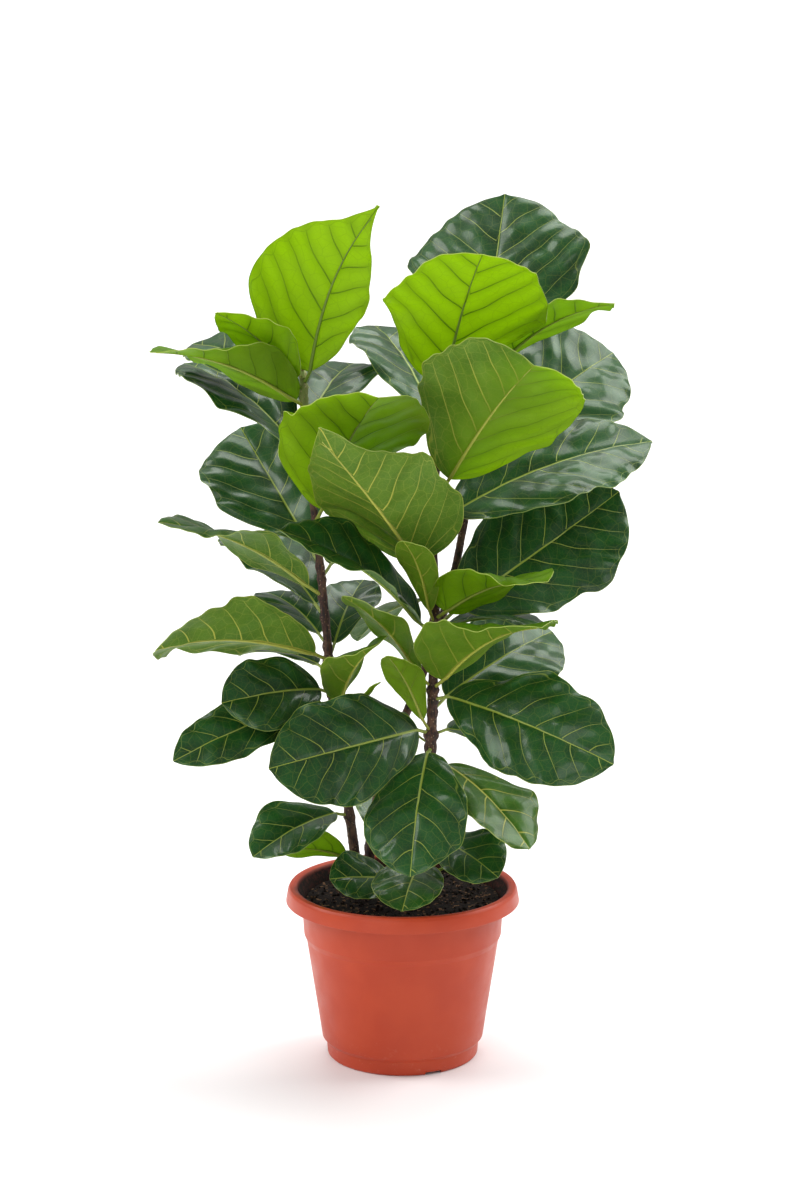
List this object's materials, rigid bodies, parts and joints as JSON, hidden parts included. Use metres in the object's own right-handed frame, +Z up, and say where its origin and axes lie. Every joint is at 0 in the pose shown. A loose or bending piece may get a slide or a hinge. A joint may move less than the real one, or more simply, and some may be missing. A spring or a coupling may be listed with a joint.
{
  "type": "potted plant",
  "caption": "Bushy fiddle leaf fig with woody stems and broad, wavy, veined leaves, in a round tapered plastic nursery pot of terracotta colour.",
  "frame": {"origin": "centre of the pot's underside, on the surface that the pot stands on", "axes": "+Z up, -Y towards the front of the plant, +X to the right seen from the front"},
  "size_m": [0.5529, 0.3841, 0.9766],
  "materials": {
    "pot_plastic": "satin",
    "soil": "matt, crumbly",
    "bark": "matt",
    "bud_scale": "satin",
    "old_leaf": "glossy above, matt below",
    "young_leaf": "satin, lets light through"
  },
  "bodies": {
    "root": {"pot": "pot_plastic", "soil": "soil", "stem_left": "bark", "stem_right": "bark", "stem_back": "bark", "bud_left": "bud_scale", "bud_right": "bud_scale", "bud_back": "bud_scale", "leaf_left_01": "young_leaf", "leaf_left_02": "old_leaf", "leaf_left_03": "young_leaf", "leaf_left_04": "young_leaf", "leaf_left_05": "old_leaf", "leaf_left_06": "old_leaf", "leaf_left_07": "old_leaf", "leaf_left_08": "old_leaf", "leaf_left_09": "young_leaf", "leaf_left_10": "old_leaf", "leaf_left_11": "old_leaf", "leaf_left_12": "old_leaf", "leaf_left_13": "old_leaf", "leaf_left_14": "old_leaf", "leaf_left_15": "young_leaf", "leaf_left_16": "old_leaf", "leaf_left_17": "old_leaf", "leaf_left_18": "young_leaf", "leaf_left_19": "old_leaf", "leaf_left_20": "young_leaf", "leaf_left_21": "young_leaf", "leaf_right_01": "old_leaf", "leaf_right_02": "young_leaf", "leaf_right_03": "old_leaf", "leaf_right_04": "old_leaf", "leaf_right_05": "old_leaf", "leaf_right_06": "old_leaf", "leaf_right_07": "old_leaf", "leaf_right_08": "old_leaf", "leaf_right_09": "old_leaf", "leaf_right_10": "old_leaf", "leaf_right_11": "young_leaf", "leaf_right_12": "old_leaf", "leaf_right_13": "old_leaf", "leaf_right_14": "young_leaf", "leaf_right_15": "young_leaf", "leaf_right_16": "old_leaf", "leaf_right_17": "old_leaf", "leaf_right_18": "young_leaf", "leaf_right_19": "old_leaf", "leaf_right_20": "young_leaf", "leaf_right_21": "old_leaf", "leaf_right_22": "young_leaf", "leaf_right_23": "old_leaf", "leaf_right_24": "young_leaf", "leaf_right_25": "old_leaf", "leaf_right_26": "young_leaf", "leaf_back_01": "old_leaf", "leaf_back_02": "old_leaf", "leaf_back_03": "young_leaf", "leaf_back_04": "old_leaf"}
  },
  "joints": []
}
